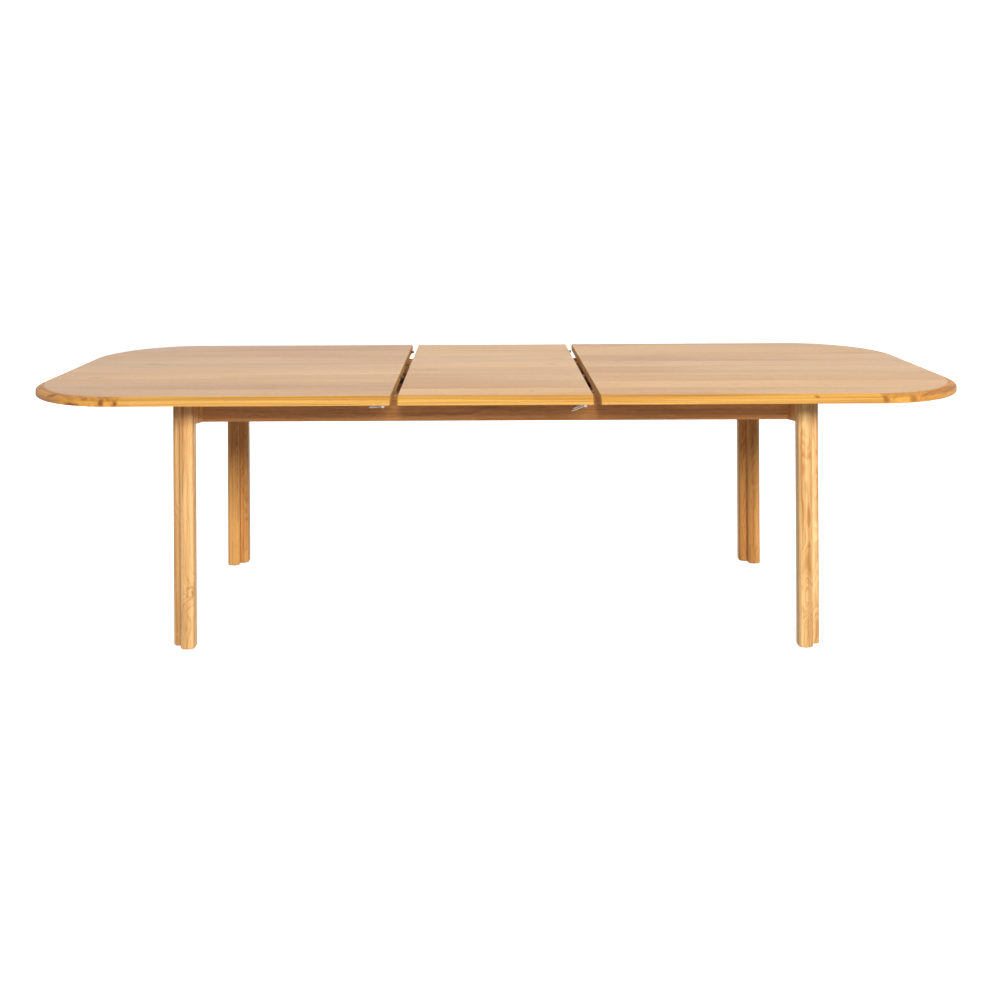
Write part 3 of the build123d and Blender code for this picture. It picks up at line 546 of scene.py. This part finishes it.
# The apron oak is darker than the leg oak: partly its own colour, partly painted shade under the top.
APRON_OAK_WITH_PAINTED_SHADE = ((0.80, 0.355, 0.105), (0.29, 0.094, 0.022))
BEECH = ((0.60, 0.34, 0.15), (0.42, 0.20, 0.080))
# The dowels are coloured dark brown as painted shade in the gaps between the boards.
DOWEL_PAINTED_SHADE = ((0.19, 0.105, 0.05), (0.12, 0.06, 0.028))

# What each slot of the record is made of: colours, figure and finish of the oak, or a shared material.
WOOD = {
    "top_oak": (OAK, "top", dict(staves_from=-0.5, gloss=0.33, specular=0.6)),
    "lipping_oak": (EDGE_OAK, "lipping", dict(gloss=0.46, specular=0.35)),
    "leg_oak": (LEG_OAK, "leg", dict(specular=0.20)),
    "block_oak": (BLOCK_OAK, "leg", dict(specular=0.28)),
    "apron_oak": (APRON_OAK_WITH_PAINTED_SHADE, "apron", dict(specular=0.30)),
}
OTHER = {
    "gear_nylon": ("nylon", plastic, (0.055, 0.052, 0.05), 0.45),
    "glide_plastic": ("glide", plastic, (0.06, 0.055, 0.05), 0.5),
    "zinc_steel": ("zinc", metal, (0.46, 0.46, 0.45), 0.46, 420.0),
    "clip_wire": ("wire", metal, (0.48, 0.48, 0.47), 0.28, 900.0),
    "pad_felt": ("felt", felt, (0.33, 0.24, 0.17)),
}
# Width of the softened edges of the wooden pieces, in millimetres.
ARRIS = {"top_oak": 0.5, "lipping_oak": 0.5, "leg_oak": 0.6, "block_oak": 1.0, "apron_oak": 1.0,
         "inner_beech": 0.8, "dowel_beech": 1.2}
# Knots that can be told apart: how far from the middle of the piece, half sizes, both in millimetres,
# and how dark the rim and the heart are.
KNOTS = {
    "leg_front_left": [
        ((24.0, -34.0, -198.0), (12.0, 16.0, 17.0), 0.60, 0.0),
        ((29.0, -34.0, -199.0), (3.0, 10.0, 9.0), 0.0, 0.6),
    ],
    "leg_front_right": [
        ((-9.0, -34.0, -211.0), (8.0, 16.0, 24.0), 0.30, 0.0),
    ],
    "left_lipping_front_corner": [
        ((156.5, -152.5, -4.0), (5.0, 9.0, 9.0), 0.4, 1.0),
        ((116.5, -151.5, -2.0), (6.0, 9.0, 9.0), 0.8, 1.0),
        ((65.5, -134.5, 6.0), (7.0, 7.0, 5.0), 0.6, 0.5),
        ((22.5, -131.5, -9.0), (24.0, 12.0, 4.0), 0.7, 1.0),
        ((-55.5, -80.5, 7.0), (20.0, 9.0, 5.0), 0.7, 1.0),
    ],
    "right_lipping_front_corner": [
        ((-145.5, -151.5, -2.0), (8.0, 10.0, 10.0), 0.5, 0.7),
        ((-64.5, -140.5, -3.0), (10.0, 9.0, 9.0), 0.5, 0.65),
    ],
    "right_lipping_front": [
        ((208.5, -4.0, 5.0), (6.0, 5.0, 4.0), 0.5, 0.9),
    ],
    "left_field_board": [
        ((-290.0, 66.0, 12.0), (34.0, 8.0, 14.0), 0.3, 0.7),
        ((-200.0, 64.0, 12.0), (64.0, 2.5, 8.0), 0.0, 0.4),
        ((-398.0, -178.0, 12.0), (20.0, 7.0, 12.0), 0.3, 0.5),
        ((-202.0, -403.0, 12.0), (14.0, 5.0, 12.0), 0.2, 0.4),
        ((260.0, 250.0, 12.0), (14.0, 7.0, 12.0), 0.2, 0.45),
    ],
    "leaf_field_board": [
        ((-197.0, -68.0, 12.0), (17.0, 7.0, 12.0), 0.3, 0.5),
        ((215.0, 148.0, 12.0), (12.0, 6.0, 12.0), 0.3, 0.45),
        ((102.0, -422.0, 12.0), (7.0, 4.0, 10.0), 0.2, 0.9),
    ],
    "right_field_board": [
        ((-408.0, 92.0, 12.0), (14.0, 7.0, 12.0), 0.3, 0.5),
        ((160.0, 205.0, 12.0), (13.0, 8.0, 12.0), 0.2, 0.5),
        ((-120.0, -330.0, 12.0), (9.0, 6.0, 10.0), 0.2, 0.5),
    ],
}
# The left board has more dark wood in it than the others.
LEFT_BOARD_BASE = 0.54
# How far each piece is from the one before it in the log, and where the hidden beech comes from.
LOG_STEP = (0.37, 0.13, 0.05)
BEECH_LOG = (0.2, 0.1, 0.0)
# Faces that meet at more than the sharp angle have an arris between them, and those that meet at less
# than the flat angle become one face. Both are in degrees.
SHARP_ANGLE = 28
FLAT_ANGLE = 0.3
WELD = 0.01 * MM

SLOT = {name: node.material_slots[0].material.name.split(".")[0] for name, node in nodes.items()}
shared = {}


def look(name, build, *values):
    """A material that several nodes share, made once."""
    if name not in shared:
        shared[name] = build(name, *values)
    return shared[name]


def grain_of(node):
    """The way that the fibres of a wooden node run."""
    if node.endswith("corner"):
        return "rising" if node.startswith("left") == ("rear" in node) else "falling"
    crosswise = ("cross_rail", "apron_left", "apron_right")
    if node.startswith(crosswise) or "battens" in node or node.endswith("_end"):
        return "y"
    if node.startswith(("leg_front", "leg_rear", "corner_block", "stop_blocks")):
        return "z"
    return "x"


def oak_of(node, number):
    """A board, lipping, leg, block or apron has a material of its own, from its own place in the log."""
    slot = SLOT[node]
    colours, figure, finish = WOOD[slot]
    if node.endswith("corner"):
        colours, figure = CORNER_OAK, "corner"
    if node == "left_field_board":
        finish = dict(finish, base=LEFT_BOARD_BASE)
    # The front right leg takes a lighter copy of the leg oak as painted light.
    if node == "leg_front_right":
        colours = LIT_RIGHT_LEG_OAK
    # The rear legs take a darker, warmer copy of the leg oak as painted shade.
    if node.startswith("leg_rear"):
        colours = SHADED_REAR_LEG_OAK
    along, across, down = (step * number for step in LOG_STEP)
    place = (along, 0.0, 0.0) if slot == "top_oak" else (along, across, down)
    low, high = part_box(node)
    middle = tuple((a + b) / 2 for a, b in zip(low, high))
    return wood("wood_" + node, *colours, grain_of(node), place, figure,
                knots=KNOTS.get(node, ()), middle=middle, **finish)


def material_of(node, number):
    slot = SLOT[node]
    if slot in WOOD:
        return oak_of(node, number)
    if slot == "inner_beech":
        along = grain_of(node)
        return look("beech_" + along, wood, *BEECH, along, BEECH_LOG, "plain")
    if slot == "dowel_beech":
        return look("dowel", wood, *DOWEL_PAINTED_SHADE, "x", BEECH_LOG, "plain")
    return look(*OTHER[slot])


def refined(node, material, arris):
    """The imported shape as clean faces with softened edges, standing for its CAD node."""
    source = nodes[node]
    body = body_of(source)[0]
    mesh = bmesh.new()
    mesh.from_mesh(source.data)
    bmesh.ops.remove_doubles(mesh, verts=mesh.verts, dist=WELD)
    bmesh.ops.dissolve_limit(mesh, angle_limit=radians(FLAT_ANGLE), verts=mesh.verts, edges=mesh.edges)
    for edge in mesh.edges:
        edge.smooth = len(edge.link_faces) == 2 and edge.calc_face_angle() < radians(SHARP_ANGLE)
    for face in mesh.faces:
        face.smooth = True
    data = bpy.data.meshes.new(node + "_piece")
    mesh.to_mesh(data)
    mesh.free()
    data.materials.append(material)
    piece = bpy.data.objects.new(node + "_piece", data)
    scene.collection.objects.link(piece)
    soft = piece.modifiers.new("arris", "BEVEL")
    soft.width = arris * MM
    soft.segments = 2
    soft.limit_method = "ANGLE"
    soft.angle_limit = radians(SHARP_ANGLE)
    smooth = piece.modifiers.new("normals", "WEIGHTED_NORMAL")
    smooth.keep_sharp = True
    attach(piece, body)
    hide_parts(node)


# ---- pieces ----
for number, name in enumerate(sorted(nodes), 1):
    material = material_of(name, number)
    if SLOT[name] in ARRIS:
        refined(name, material, ARRIS[SLOT[name]])
    else:
        for place in nodes[name].material_slots:
            place.material = material
